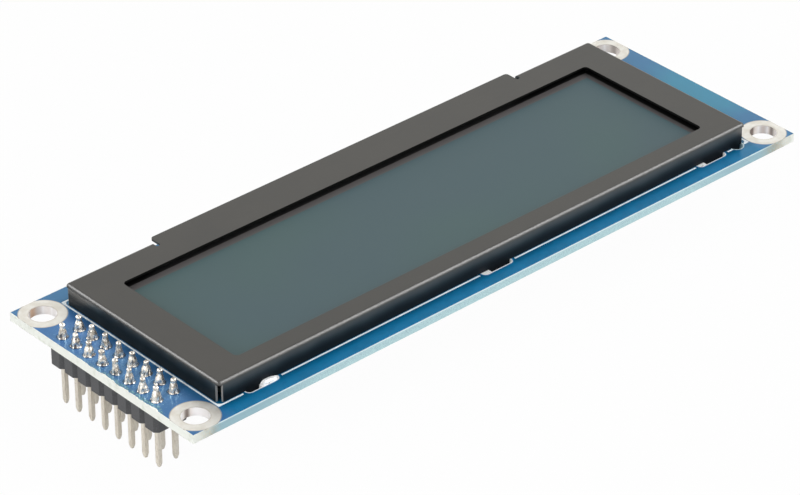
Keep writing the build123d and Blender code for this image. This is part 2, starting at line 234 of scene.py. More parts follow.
def makeCamera(view):
    flat = math.cos(view["elevation"])
    back = np.array((
        -math.cos(view["heading"]) * flat,
        -math.sin(view["heading"]) * flat,
        math.sin(view["elevation"]),
    ))
    camera = bpy.data.objects.new("camera", bpy.data.cameras.new("camera"))
    camera.data.lens = view["lens"]
    camera.data.sensor_width = view["sensor"]
    camera.data.clip_start, camera.data.clip_end = view["clip"]
    camera.location = np.array(view["aim"]) + back * view["distance"]
    turn = view["heading"] - math.pi / 2
    camera.rotation_euler = (math.pi / 2 - view["elevation"], 0.0, turn)
    bpy.context.collection.objects.link(camera)
    bpy.context.scene.camera = camera


makeCamera(cameraView)
bpy.context.scene.view_settings.view_transform = "Standard"
print("camera made")

# Floor, backdrop colour and lamps

studio = {
    "floorTint": (0.74, 0.74, 0.74, 1.0),
    "floorReach": 3.0,
    "cameraGlow": 0.975,  # share of plain white that the camera sees in the floor
    "mirrorGlow": 0.45,  # the same for what shiny surfaces see, so that they keep its shadow
    "skyFill": 0.27,
    "mirrorTint": (1.0, 0.985, 0.94, 1.0),
    # what shiny surfaces see in the sky: the side before the object and the side behind, along a slope
    "mirrorSky": (0.22, 1.38),
    "mirrorSlope": (-0.57, 0.71, 0.41),
    "slopeEnds": (-0.9, 0.25),
    "mirrorZenith": 0.3,  # share of that straight above
    "zenithEnds": (0.62, 0.97),
    "lamps": {
        "overhead": {"place": (0.02, -0.05, 0.62), "size": (0.5, 0.4), "power": 0.35},
        "leftSide": {"place": (-0.66, -0.1, 0.34), "size": (0.4, 0.5), "power": 2.6},
        "nearSide": {"place": (0.25, -0.62, 0.3), "size": (0.5, 0.4), "power": 1.8},
        "nearBend": {"place": (0.34, -0.15, 0.47), "size": (0.44, 0.2), "power": 0.9},
        "leftBend": {"place": (-0.17, 0.4, 0.45), "size": (0.28, 0.28), "power": 0.6},
    },
    # cards seen in shiny surfaces alone, for the lines along the bezel's bends
    "cards": {
        "nearBendCard": {"place": (0.35, -0.26, 0.43), "size": (0.46, 0.46), "power": 6.4},
        "leftBendCard": {"place": (-0.32, 0.4, 0.38), "size": (0.36, 0.32), "power": 4.8},
    },
}


def makeLamp(name, spec, mirrorOnly=False):
    lamp = bpy.data.lights.new(name, "AREA")
    lamp.shape = "RECTANGLE"
    lamp.size, lamp.size_y = spec["size"]
    lamp.energy = spec["power"]
    holder = bpy.data.objects.new(name, lamp)
    holder.location = spec["place"]
    away = holder.location.normalized()
    holder.rotation_euler = away.to_track_quat("Z", "Y").to_euler()
    holder.visible_diffuse = not mirrorOnly
    bpy.context.collection.objects.link(holder)


def seenBy(shader, camera, mirror):
    # one share for camera rays, one for rays off shiny and through clear surfaces, 0 for rays that only light
    direct = shader.node("LightPath", out="Is Camera Ray")
    glossy = shader.node("LightPath", out="Is Glossy Ray")
    through = shader.node("LightPath", out="Is Transmission Ray")
    return shader.most(direct * camera, shader.most(glossy, through) * mirror)


def makeFloor():
    shader = Shader("paleFloor")
    diffuse = shader.node("BsdfDiffuse", inputs={"Color": studio["floorTint"]})
    glow = shader.node("Emission", inputs={"Color": plainWhite, "Strength": 1.0})
    factor = seenBy(shader, studio["cameraGlow"], studio["mirrorGlow"])
    lit = shader.node("MixShader", inputs={0: factor, 1: diffuse, 2: glow})
    # seen from below the floor is clear, so that it doesn't hide the module's back
    below = shader.node("NewGeometry", out="Backfacing") * shader.node("LightPath", out="Is Camera Ray")
    clear = shader.node("BsdfTransparent")
    shader.finish(shader.node("MixShader", inputs={0: below, 1: lit, 2: clear}))
    low = cadBox[0].z
    reach = studio["floorReach"]
    mesh = bpy.data.meshes.new("floor")
    corners = [(-reach, -reach, low), (reach, -reach, low), (reach, reach, low), (-reach, reach, low)]
    mesh.from_pydata(corners, [], [(0, 1, 2, 3)])
    mesh.materials.append(shader.material)
    floor = bpy.data.objects.new("floor", mesh)
    bpy.context.collection.objects.link(floor)


def makeSky():
    # even white for the camera, a weak even fill, and for reflections a slope from the front to the back
    world = bpy.data.worlds.new("studioSky")
    bpy.context.scene.world = world
    world.use_nodes = True
    sky = Shader("studioSky", world.node_tree)
    direction = sky.node("TexCoord", out="Generated")
    product = {0: direction, 1: studio["mirrorSlope"]}
    slope = sky.node("VectorMath", {"operation": "DOT_PRODUCT"}, product, out="Value")
    front, behind = studio["mirrorSky"]
    mirrored = sky.fade(slope, *studio["slopeEnds"]) * (behind - front) + front
    above = sky.fade(sky.axes(direction)[2], *studio["zenithEnds"])
    mirrored = mirrored * (1 - above * (1 - studio["mirrorZenith"]))
    camera = sky.node("LightPath", out="Is Camera Ray")
    shiny = sky.node("LightPath", out="Is Glossy Ray")
    through = sky.node("LightPath", out="Is Transmission Ray")
    fill = (1 - camera) * (1 - shiny) * (1 - through) * studio["skyFill"]
    strength = sky.most(camera, through) + shiny * mirrored + fill
    hue = sky.tint(shiny, plainWhite, studio["mirrorTint"])
    light = sky.node("Background", inputs={"Color": hue, "Strength": strength})
    out = sky.tree.nodes.new("ShaderNodeOutputWorld")
    sky.tree.links.new(light.socket, out.inputs[0])


makeFloor()
makeSky()
for lampName, lampSpec in studio["lamps"].items():
    makeLamp(lampName, lampSpec)
for lampName, lampSpec in studio["cards"].items():
    makeLamp(lampName, lampSpec, mirrorOnly=True)
print("studio made")

# Board: blue mask on both faces, fibreglass edges, and a header edge where the mask has chipped

board = {
    "maskNear": colour(0, 113, 164),
    # darker tone for random clouds, and painted shade beside the near wall
    "maskNearCloudAndShade": colour(0, 86, 126),
    "maskHeader": colour(58, 104, 158),
    "maskHeaderPale": colour(72, 116, 178),
    "haze": colour(104, 144, 184),
    # far and right strips: their own paler tone, with a painted reflection of the sky
    "maskFarAndSkyReflection": colour(66, 141, 172),
    "maskFarDeepAndSkyReflection": colour(68, 117, 164),
    "laminate": colour(206, 236, 238),
    "laminateDark": colour(160, 194, 206),
    "laminateBrown": colour(184, 170, 142),
    "laminateTop": colour(240, 252, 255),
    "laminateWarm": colour(251, 252, 244),
    "laminateStain": colour(218, 225, 206),
    "copperEdge": colour(150, 168, 190),
    # dark ring round each joint: the mask opening's gap, with painted contact shadow
    "jointGapAndShadow": colour(20, 38, 66),
    # pale flux residue, lightened with painted glints
    "fluxAndPaintedLight": colour(132, 186, 214),
    "tornPale": colour(128, 176, 166),
    "tornDeep": colour(18, 62, 96),
    "leftBits": colour(62, 122, 124),
    "track": colour(34, 122, 176),
    "via": colour(150, 168, 176),
    "print": colour(246, 252, 254),
    "printWorn": colour(214, 230, 240),
    "rearPrint": colour(222, 230, 234),
    "specularTint": (0.22, 0.82, 1.0, 1.0),
    "halfMm": (50.6, 17.35),
    "longEndsMm": (-48.6, -46.0, 43.5, 48.0),  # where a long edge's brown left and right ends fade out and in
    "longDarkMm": (28.0, 42.0),
    "shortMm": (1.2, 5.5),  # how far the short edge's cream tone reaches round the corner
    "chipBandMm": (-10.0, 5.0, 10.8, 12.2),  # towards the near side, where the flaked band grows and ends
    "thinMm": (0.05, 0.08),  # bare rim along the other three edges
    "lugHoleMm": (1.07, 1.12),
    "wallShadeMm": (15.0, 16.3),
    "headerEndMm": (-45.5, -41.5),
    "farStripMm": (14.3, 15.6),
    "rightStripMm": 29.8,  # what brings the right strip's start to that of the far one
    "fieldMm": (2.2, 2.6, 10.0, 10.4),  # half sizes of the header's field, each with its fade
    "gapAndShadowMm": (0.86, 0.98),
    "splashMm": (-48.2, 2.2, 3.6, 9.6, 11.6),  # middle of the flux, then its half sizes, each with its fade
    # white outlines printed on the back, round the inductor, regulator, diode and header: each one's centre
    # and half sizes
    "rearPrintMm": (
        (-29.5, -8.0, 2.35, 2.35),
        (-24.5, -8.0, 1.25, 1.85),
        (-29.5, -3.2, 1.95, 1.15),
        (-47.86, 0.0, 2.75, 10.45),
    ),
    "holesMm": (47.85, 14.45),  # the four holes lie at plus and minus these
    "ringMm": (3.09, 3.17),  # where the mask's pale line round a ring ends
    "lugMm": (42.8, -14.35),
    "jointMm": (-49.13, -8.89, 2.54),  # first joint and pitch
    "slotMm": (37.9, 14.35, 2.43, 0.8, 0.6),  # pitch, row, half length, half width, corner
    "trackPitchMm": (1.27, 1.9),
}
boardBackMm = boxMm("circuit_board")[1]


def cutEdgeTone(shader, where, x, z, fromEdge):
    # layers of glass weave seen end on: cooler and speckled on the long edges, brown towards their ends, and
    # cream on the short ones
    weave = shader.noise(shader.stretch(where, (3.0, 3.0, 9.0)), 2.6, 4.0, 0.7)
    long = shader.tint(shader.fade(weave, 0.42, 0.64), board["laminate"], board["laminateDark"])
    leftEnd, leftStart, rightStart, rightEnd = board["longEndsMm"]
    ends = shader.most(1 - shader.fade(x, leftEnd, leftStart), shader.fade(x, rightStart, rightEnd))
    speckle = shader.fade(shader.noise(where, 3.4, 3.0, 0.7), 0.36, 0.6)
    long = shader.tint(shader.fade(abs(x), *board["longDarkMm"]) * 0.9, long, board["laminateDark"])
    long = shader.tint(ends * (0.4 + speckle * 0.6), long, board["laminateBrown"])
    long = shader.tint(shader.fade(z, -0.22, -0.1) * (1 - ends) * 0.7, long, board["laminateTop"])
    blotch = shader.noise(where, 0.7, 3.0, 0.6)
    short = shader.tint(shader.fade(blotch, 0.5, 0.75) * 0.6, board["laminateWarm"], board["laminateStain"])
    nearEnd = shader.least(fromEdge, board["halfMm"][0] - x) + blotch * 3.0
    return shader.tint(1 - shader.fade(nearEnd, *board["shortMm"]), long, short)


def jointDistance(shader, x, y):
    # distance from the nearest header pin, and 0 to 1 for lying within the header's field
    startX, startY, pitch = board["jointMm"]
    acrossX = ((x - startX) / pitch + 0.5) % 1 - 0.5
    acrossY = ((y - startY) / pitch + 0.5) % 1 - 0.5
    fullX, endX, fullY, endY = board["fieldMm"]
    field = 1 - shader.fade(abs(x - startX - pitch / 2), fullX, endX)
    return span(acrossX, acrossY) * pitch, field * (1 - shader.fade(abs(y), fullY, endY))


def holeDistance(x, y):
    # distance from the nearest of the four holes, which mirror each other
    holeX, holeY = board["holesMm"]
    return span(abs(x) - holeX, abs(y) - holeY)


def backTracks(shader, where, x, y, z):
    # copper tracks and joined pads that show through the mask on the back
    flat = shader.stretch(where, (1.0, 1.0, 0.0))
    wander = shader.noise(flat, 0.09, 2.0, 0.5)
    straightPitch, slantPitch = board["trackPitchMm"]
    straight = 1 - shader.fade(abs((y + (wander > 0.5) * 0.6) / straightPitch % 1 - 0.5), 0.12, 0.17)
    slanted = 1 - shader.fade(abs((x + y) / slantPitch % 1 - 0.5), 0.1, 0.14)
    slantedArea = shader.fade(wander, 0.52, 0.53)
    line = straight * (1 - slantedArea) + slanted * slantedArea
    via = 1 - shader.fade(shader.cells(flat, 0.42), 0.13, 0.16)
    atBack = 1 - shader.fade(z - boardBackMm, 0.01, 0.03)
    return atBack * line, atBack * via


def maskMaterial():
    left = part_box("circuit_board")[0].x * toMm
    boardX, boardY = board["halfMm"]
    shader = Shader("blueMask")
    where = shader.place()
    x, y, z = shader.axes(where)
    flat = shader.stretch(where, (1.0, 1.0, 0.0))
    ragged = shader.noise(flat, 0.75, 3.0, 0.6)
    fine = shader.noise(where, 9.0, 3.0, 0.6)
    # faces are mask, and what lies between them is the cut edge
    inner = shader.least(0 - z, z - boardBackMm)
    onFace = 1 - shader.fade(inner, 0.004, 0.02)
    fromEdge = x - left
    # along the header the mask has flaked off in a ragged band, wider towards the near corner
    wide = shader.noise(shader.stretch(where, (0.0, 1.0, 0.0)), 0.33, 3.0, 0.6)
    beltStart, beltFull, beltThin, beltEnd = board["chipBandMm"]
    belt = shader.fade(0 - y, beltStart, beltFull) * (1 - shader.fade(0 - y, beltThin, beltEnd))
    flaked = 0.05 + belt * (shader.fade(wide, 0.4, 0.66) * 0.2 + (ragged - 0.5) * 0.7)
    chipped = 1 - shader.fade(fromEdge - flaked, -0.02, 0.05)
    torn = (1 - shader.fade(fromEdge - flaked - belt * 0.3, 0.02, 0.4)) * belt
    near = shader.least(boardY - abs(y), boardX - x)
    thin = 1 - shader.fade(near + fine * 0.06, *board["thinMm"])
    lugX, lugY = board["lugMm"]
    lugHole = 1 - shader.fade(span(x - lugX, y - lugY), *board["lugHoleMm"])
    bare = shader.most(shader.most(chipped, thin), lugHole)
    onMask = onFace * (1 - bare)
    # mask tone: darker beside the near wall, painted shade and a painted reflection of the wall there, bluer
    # over the header's copper, and paler on the far and right strips, partly their own tone and partly a
    # painted reflection of the sky
    drift = shader.noise(where, 0.11, 3.0, 0.6)
    cloud = shader.fade(shader.noise(where, 0.5, 4.0, 0.6), 0.35, 0.7)
    besideWallShade = 1 - shader.fade(abs(y) + cloud * 0.3, *board["wallShadeMm"])
    mask = shader.tint(shader.most(cloud * 0.35, besideWallShade), board["maskNear"], board["maskNearCloudAndShade"])
    paler = shader.fade(drift + y * 0.012, 0.36, 0.68)
    header = shader.tint(paler, board["maskHeader"], board["maskHeaderPale"])
    atHeader = 1 - shader.fade(x + drift * 3, *board["headerEndMm"])
    mask = shader.tint(atHeader, mask, header)
    # paler far and right strips, partly a painted reflection of the sky
    strip = shader.fade(shader.most(x - board["rightStripMm"], y), *board["farStripMm"])
    deeper = shader.fade(abs(y + 1.0) + (drift - 0.5) * 9, 3.0, 12.0)
    farToneAndReflection = shader.tint(deeper, board["maskFarAndSkyReflection"], board["maskFarDeepAndSkyReflection"])
    mask = shader.tint(strip * 0.9, mask, farToneAndReflection)
    # round each joint: a dark ring, partly the gap at the mask's opening and partly painted contact shadow,
    # then flux in small light specks and streaks, partly residue and partly painted glints
    reach, field = jointDistance(shader, x, y)
    gapAndShadow = field * (1 - shader.fade(reach + fine * 0.2, *board["gapAndShadowMm"]))
    mask = shader.tint(gapAndShadow * 0.75, mask, board["jointGapAndShadow"])
    middleX, fullX, endX, fullY, endY = board["splashMm"]
    splash = 1 - shader.fade(abs(x - middleX) + fine, fullX, endX)
    splash = splash * (1 - shader.fade(abs(y), fullY, endY))
    tatter = shader.fade(shader.noise(flat, 3.6, 3.0, 0.7), 0.45, 0.58)
    pitted = shader.fade(shader.noise(flat, 5.0, 2.0, 0.6), 0.52, 0.6)
    mask = shader.tint(torn * tatter * 0.9, mask, board["tornPale"])
    mask = shader.tint(torn * pitted * 0.7, mask, board["tornDeep"])
    specks = shader.fade(shader.noise(where, 4.2, 2.0, 0.7), 0.61, 0.67)
    streaks = shader.fade(shader.noise(shader.stretch(where, (0.6, 2.0, 1.0)), 2.2, 4.0, 0.75), 0.57, 0.7)
    mask = shader.tint(splash * (0.12 + streaks * 0.3), mask, board["haze"])
    # light specks and streaks: flux residue, with painted glints on it
    fluxAndPaintedLight = splash * (1 - gapAndShadow) * shader.most(specks, streaks * 0.55)
    mask = shader.tint(fluxAndPaintedLight * 0.7, mask, board["fluxAndPaintedLight"])
    # a pale line of copper at the rim of each ring
    rim = 1 - shader.fade(holeDistance(x, y) + fine * 0.04, *board["ringMm"])
    mask = shader.tint(rim * 0.55, mask, board["copperEdge"])
    track, via = backTracks(shader, where, x, y, z)
    mask = shader.tint(track * 0.4, mask, board["track"])
    mask = shader.tint(via * 0.8, mask, board["via"])
    for centreX, centreY, halfX, halfY in board["rearPrintMm"]:
        beyond = shader.most(abs(x - centreX) - halfX, abs(y - centreY) - halfY)
        line = (1 - shader.fade(abs(beyond) + fine * 0.02, 0.07, 0.09)) * (z < boardBackMm + 0.02)
        mask = shader.tint(line, mask, board["rearPrint"])
    edge = cutEdgeTone(shader, where, x, z, fromEdge)
    # bits of mask that are left where the rest has chipped off
    bits = shader.fade(shader.noise(flat, 3.0, 3.0, 0.7), 0.5, 0.62) * onFace * chipped
    bits = bits * shader.fade(fromEdge, 0.16, 0.36)
    edge = shader.tint(bits * 0.85, edge, board["leftBits"])
    tone = shader.tint(onMask, edge, mask)
    height = onMask * 0.6 + fine * 0.2 + fluxAndPaintedLight * 0.5 + track * 0.35 - gapAndShadow * 0.4
    return shader.surface(
        Base_Color=tone,
        Roughness=0.6 - onMask * 0.47 + fluxAndPaintedLight * 0.16 + drift * onMask * 0.06,
        Specular_IOR_Level=0.4,
        Specular_Tint=board["specularTint"],
        Normal=shader.bump(height, 0.5, 0.03),
    )


dress("circuit_board", maskMaterial())


def printMaterial():
    shader = Shader("whitePrint")
    grain = shader.noise(shader.place(), 6.0, 3.0, 0.6)
    tone = shader.tint(shader.fade(grain, 0.35, 0.8), board["print"], board["printWorn"])
    return shader.surface(Base_Color=tone, Roughness=0.5, Normal=shader.bump(grain, 0.3, 0.01))


dress("printed_outline", printMaterial())


# Tin and solder: the four rings, the rims of the legs' slots, and the solder in them

landLook = {
    "bright": colour(204, 203, 199),
    "dull": colour(193, 190, 183),
    "specks": colour(152, 146, 140),
    # painted shadow of the mask's edge round each ring
    "outerRimShadow": colour(126, 114, 104),
    "lip": colour(164, 154, 144),
    "outerRimShadowMm": (2.98, 3.05),
    "lipMm": 1.82,
    "wallMm": (1.76, 1.78),
    # tones of the streaks down the hole's wall, by the noise's value, partly painted reflection of the white
    # floor and painted shade
    "streaks": (
        (0.34, colour(116, 102, 94)),
        (0.41, colour(236, 229, 224)),
        (0.5, colour(252, 251, 252)),
        (0.58, colour(222, 216, 214)),
        (0.65, colour(218, 184, 156)),
    ),
}
# the slot rims' near-white tin is a painted reflection of the white floor
slotLookAndReflection = {"bright": colour(255, 255, 255), "dull": colour(244, 244, 243), "lappedMm": (0.14, 0.17)}
# bright and dull tone, roughness, share of metal, and how far dark pits show
tinLooks = {
    # the legs' solder is near white with little metal: a painted reflection of the white floor
    "legSolderAndReflection": (colour(255, 255, 255), colour(242, 243, 244), 0.26, 0.12, 0.85),
    "contactSolder": (colour(232, 228, 218), colour(196, 190, 178), 0.28, 0.8, 0.0),
    "terminalTin": (colour(226, 222, 212), colour(190, 184, 172), 0.3, 0.8, 0.0),
}
tinPit = colour(64, 60, 54)


def landMaterial():
    # hot-levelled tin on the four rings: wavy, speckled, and streaked down the walls of the holes, partly with
    # painted reflection and shade
    shader = Shader("tinnedLand")
    where = shader.place()
    x, y, z = shader.axes(where)
    wave = shader.noise(where, 0.8, 2.0, 0.5)
    grain = shader.noise(where, 5.0, 4.0, 0.7)
    tone = shader.tint(shader.fade(wave, 0.35, 0.7), landLook["bright"], landLook["dull"])
    specks = shader.fade(grain, 0.6, 0.72) * shader.fade(shader.noise(where, 0.45, 2.0, 0.5), 0.46, 0.62)
    tone = shader.tint(specks * 0.55, tone, landLook["specks"])
    reach = holeDistance(x, y)
    # the ring's outer rim darkens with a painted shadow of the mask's edge
    outer = shader.fade(reach + grain * 0.1, *landLook["outerRimShadowMm"])
    lip = 1 - shader.fade(abs(reach - landLook["lipMm"]) + grain * 0.06, 0.06, 0.12)
    tone = shader.tint(outer * 0.6, tone, landLook["outerRimShadow"])
    tone = shader.tint(lip * 0.35, tone, landLook["lip"])
    wall = (1 - shader.fade(reach, *landLook["wallMm"])) * shader.fade(0 - z, 0.02, 0.06)
    streak = shader.noise(shader.stretch(where, (1.0, 1.0, 0.05)), 0.45, 1.0, 0.4)
    streakReflectionAndShade = shader.node("ValToRGB", {"stops": landLook["streaks"]}, {0: streak})
    tone = shader.tint(wall, tone, streakReflectionAndShade)
    return shader.surface(
        Base_Color=tone,
        Metallic=0.8 - wall * 0.5,
        Roughness=0.34 + grain * 0.16,
        Normal=shader.bump(wave + grain * 0.15, 0.35, 0.05),
    )


def slotMaterial():
    # tinned rim of a leg's slot, near white with little metal as a painted reflection of the white floor, with
    # the mask lapping over its outer half
    shader = Shader("tinnedSlotAndReflection")
    where = shader.place()
    x, y = shader.axes(where)[:2]
    pitch, row, halfLong, halfWide, corner = board["slotMm"]
    alongX = abs(((x / pitch + 0.5) % 1 - 0.5) * pitch) - (halfLong - corner)
    acrossY = abs(abs(y) - row) - (halfWide - corner)
    beyond = span(shader.most(alongX, 0.0), shader.most(acrossY, 0.0)) - corner
    grain = shader.noise(where, 6.0, 3.0, 0.6)
    lapped = shader.fade(beyond + grain * 0.06, *slotLookAndReflection["lappedMm"])
    tone = shader.tint(shader.fade(grain, 0.4, 0.8), slotLookAndReflection["bright"], slotLookAndReflection["dull"])
    tone = shader.tint(lapped, tone, board["maskNear"])
    return shader.surface(
        Base_Color=tone,
        Metallic=0.08 - lapped * 0.08,
        Roughness=0.34 + grain * 0.1,
        Normal=shader.bump(grain + lapped * 0.6, 0.3, 0.03),
    )


def tinMaterial(name):
    # hot-levelled tin or solder: slightly wavy, with faint dull patches and, where asked for, dark pits
    bright, dull, roughness, metallic, pitting = tinLooks[name]
    shader = Shader(name)
    where = shader.place()
    wave = shader.noise(where, 0.9, 2.0, 0.5)
    grain = shader.noise(where, 7.0, 3.0, 0.65)
    tone = shader.tint(shader.fade(grain, 0.35, 0.8), bright, dull)
    pits = shader.fade(shader.noise(where, 2.3, 3.0, 0.7), 0.62, 0.67) * pitting
    tone = shader.tint(pits, tone, tinPit)
    return shader.surface(
        Base_Color=tone,
        Metallic=metallic,
        Roughness=roughness + grain * 0.16,
        Normal=shader.bump(wave + grain * 0.1, 0.35, 0.05),
    )


landTin = landMaterial()
for number in range(1, 5):
    dress(f"mount_land_{number}", landTin)
slotTinAndReflection = slotMaterial()
for number in range(1, 6):
    dress(f"slot_land_{number}", slotTinAndReflection)
legTinAndReflection = tinMaterial("legSolderAndReflection")
dress("leg_solder", legTinAndReflection)
print("board dressed")

# Bezel: satin black paint over folded sheet

bezelPaint = {
    "black": colour(23, 22, 19),
    "cloud": colour(31, 29, 25),
    # painted reflection high on the walls, and painted shade and reflection of the blue mask low on them
    "wallReflectionHigh": colour(62, 62, 61),
    "wallShadeAndReflectionLow": colour(3, 12, 20),
    # painted highlight along the bends
    "bendHighlight": colour(82, 81, 79),
    # painted highlight on the corners' cut edges
    "cornerEdgeHighlight": colour(150, 150, 150),
    "windowEdge": colour(4, 4, 4),
    "halfMm": (44.3, 14.5),
    "sheetMm": 0.31,  # thickness of the sheet, with a hair's breadth over
    "faceMm": 2.84,  # height just under the top face
    "cutTopMm": 2.39,  # height up to which the corners are open
    "wallDepthMm": (0.06, 0.34),  # how far the walls' tone reaches in from the outside
    "wallRiseMm": (1.2, 2.6),
    "footRiseMm": (0.5, 2.3),
    "leftWallMm": (43.8, 44.2),
    "bendDepthMm": (0.16, 0.4),
    "bendRiseMm": (2.4, 2.6),
    "leftBendMm": (-44.0, -43.6),
    "nearBendMm": (-14.2, -13.8),
    "tabMm": (14.0, 14.2, 2.5),  # where the tab begins, and the height that it lies above
    "windowMm": (-39.1, 39.3, -11.5, 9.9),
    "windowMarginMm": 0.04,
    "notchMm": 0.6,
}


def bezelMaterial():
    shader = Shader("bezelPaint")
    where = shader.place()
    x, y, z = shader.axes(where)
    peel = shader.noise(where, 1.5, 2.0, 0.5)
    grain = shader.noise(where, 12.0, 2.0, 0.6)
    cloud = shader.noise(where, 0.1, 3.0, 0.55)
    tone = shader.tint(shader.fade(cloud, 0.3, 0.7), bezelPaint["black"], bezelPaint["cloud"])
    # painted reflection and shade on the walls: lighter near the top, where they mirror the white floor, dark
    # and bluish towards the board, where they mirror the blue mask and lie in shade, and on the left wall dark
    # higher up
    halfX, halfY = bezelPaint["halfMm"]
    side = shader.least(halfX - abs(x), halfY - abs(y))
    tabStart, tabEnd, tabAbove = bezelPaint["tabMm"]
    onTab = shader.fade(y, tabStart, tabEnd) * (z > tabAbove)
    onWall = (1 - shader.fade(side, *bezelPaint["wallDepthMm"])) * (1 - onTab)
    rise = z + (cloud - 0.5) * 1.2 - shader.fade(0 - x, *bezelPaint["leftWallMm"]) * 0.7
    higher = shader.fade(rise, *bezelPaint["wallRiseMm"])
    wall = shader.tint(higher, bezelPaint["wallShadeAndReflectionLow"], bezelPaint["wallReflectionHigh"])
    tone = shader.tint(onWall, tone, wall)
    # painted highlight in mottled patches along the near and left bends
    bend = (1 - shader.fade(side, *bezelPaint["bendDepthMm"])) * shader.fade(z, *bezelPaint["bendRiseMm"])
    leftBend = 1 - shader.fade(x, *bezelPaint["leftBendMm"])
    nearBend = 1 - shader.fade(y, *bezelPaint["nearBendMm"])
    bend = bend * shader.most(leftBend, nearBend)
    bendHighlightMottle = bend * shader.fade(peel * 0.6 + grain * 0.4, 0.4, 0.62)
    tone = shader.tint(bendHighlightMottle * 0.55, tone, bezelPaint["bendHighlight"])
    # painted highlights on the cut sheet edges at the open corners
    notch = bezelPaint["notchMm"]
    cutX = 1 - shader.fade(abs(halfX - notch - abs(x)), 0.01, 0.03)
    cutY = 1 - shader.fade(abs(halfY - notch - abs(y)), 0.01, 0.03)
    sheet = bezelPaint["sheetMm"]
    edge = shader.most(cutX * (halfY - abs(y) < sheet), cutY * (halfX - abs(x) < sheet))
    edge = edge * (z < bezelPaint["cutTopMm"])
    tone = shader.tint(edge * 0.8, tone, bezelPaint["cornerEdgeHighlight"])
    # the window's cut edge lies in its own shade
    openLeft, openRight, openNear, openFar = bezelPaint["windowMm"]
    margin = bezelPaint["windowMarginMm"]
    withinX = (x > openLeft - margin) * (x < openRight + margin)
    withinY = (y > openNear - margin) * (y < openFar + margin)
    within = withinX * withinY * (z < bezelPaint["faceMm"])
    tone = shader.tint(within, tone, bezelPaint["windowEdge"])
    normal = shader.bump(peel * 0.7 + grain * 0.3 + bend * grain * 0.5, 0.3, 0.02)
    satin = shader.node("BsdfPrincipled", inputs={
        "Base Color": tone,
        "Roughness": 0.3 + grain * 0.1 + bend * 0.08,
        "Specular IOR Level": 0.52,
        "Normal": normal,
    })
    dusty = shader.node("BsdfPrincipled", inputs={
        "Base Color": tone,
        "Roughness": 0.6,
        "Specular IOR Level": 0.06,
        "Normal": normal,
    })
    # the walls' foot and the window's edge shine less
    lower = 1 - shader.fade(rise, *bezelPaint["footRiseMm"])
    foot = shader.most(onWall * lower, within) * 0.9
    shader.finish(shader.node("MixShader", inputs={0: foot, 1: satin, 2: dusty}))
    return shader.material


dress("bezel", bezelMaterial())

# Display panel

panel = {
    "activeMm": (-38.3, 38.5, -10.4, 8.79),
    "blendMm": 0.02,
    "pixelMm": 0.3,
    "dotHalf": 0.38,  # half a dot's width, as a share of the grid's step
    "shade": colour(4, 4, 4),
    "active": colour(63, 85, 91),
    "activeGreen": colour(63, 88, 89),
    "activeLine": colour(58, 79, 85),
    "border": colour(84, 81, 81),
    "glass": colour(32, 44, 44),
    "glassHaze": colour(52, 66, 64),
    "foam": colour(28, 28, 28),
    "foamPale": colour(52, 52, 50),
}


def polarizerMaterial():
    shader = Shader("polarizerFilm")
    where = shader.place()
    x, y = shader.axes(where)[:2]
    left, right, near, far = panel["activeMm"]
    blend = panel["blendMm"]
    across = shader.fade(x, left - blend, left + blend) * (1 - shader.fade(x, right - blend, right + blend))
    along = shader.fade(y, near - blend, near + blend) * (1 - shader.fade(y, far - blend, far + blend))
    # pixel grid: a narrow gap between neighbouring dots
    step = panel["pixelMm"]
    gapX = abs((x - left) / step % 1 - 0.5) > panel["dotHalf"]
    gapY = abs((y - near) / step % 1 - 0.5) > panel["dotHalf"]
    drift = shader.fade(shader.noise(where, 0.05, 1.0, 0.4) - x * 0.004, 0.4, 0.75)
    dots = shader.tint(drift, panel["active"], panel["activeGreen"])
    lit = shader.tint(shader.most(gapX, gapY) * 0.5, dots, panel["activeLine"])
    tone = shader.tint(across * along, panel["border"], lit)
    # painted shadow of the bezel: the border is black where it goes under it
    openLeft, openRight, openNear, openFar = bezelPaint["windowMm"]
    under = shader.most(shader.most(openLeft - x, x - openRight), shader.most(openNear - y, y - openFar))
    tone = shader.tint(shader.fade(under, -0.12, 0.0), tone, panel["shade"])
    dust = shader.fade(shader.noise(where, 6.0, 2.0, 0.5), 0.66, 0.72)
    smear = shader.noise(where, 0.15, 2.0, 0.5)
    return shader.surface(
        Base_Color=tone,
        Roughness=0.4 + smear * 0.06 + dust * 0.05,
        Specular_IOR_Level=0.25,
        Normal=shader.bump(dust, 0.05, 0.01),
    )


def glassMaterial():
    shader = Shader("panelGlass")
    haze = shader.noise(shader.place(), 0.8, 3.0, 0.6)
    tone = shader.tint(haze, panel["glass"], panel["glassHaze"])
    return shader.surface(Base_Color=tone, Roughness=0.06 + haze * 0.05, Coat_Weight=0.4)


def tapeMaterial():
    shader = Shader("foamTape")
    pores = shader.cells(shader.place(), 6.0)
    tone = shader.tint(shader.fade(pores, 0.1, 0.5), panel["foam"], panel["foamPale"])
    return shader.surface(Base_Color=tone, Roughness=0.9, Normal=shader.bump(pores, 0.5, 0.05))


dress("polarizer", polarizerMaterial())
dress("front_glass", glassMaterial())
dress("rear_glass", glassMaterial())
dress("panel_tape", tapeMaterial())
print("panel dressed")

# Header

headerLook = {
    "black": colour(70, 71, 73),
    "dusty": colour(94, 94, 97),
    "edgeMm": 0.07,
    "pin": colour(236, 230, 217),
    "pinDull": colour(212, 203, 189),
    "pinSpot": colour(150, 134, 118),
}


def housingMaterial():
    shader = Shader("headerPlastic")
    where = shader.place()
    grain = shader.noise(where, 5.0, 3.0, 0.6)
    fine = shader.noise(where, 22.0, 2.0, 0.5)
    tone = shader.tint(shader.fade(grain, 0.45, 0.8) * 0.6, headerLook["black"], headerLook["dusty"])
    return shader.surface(
        Base_Color=tone,
        Roughness=0.42 + grain * 0.14,
        Normal=shader.bump(fine + grain * 0.5, 0.3, 0.012),
    )


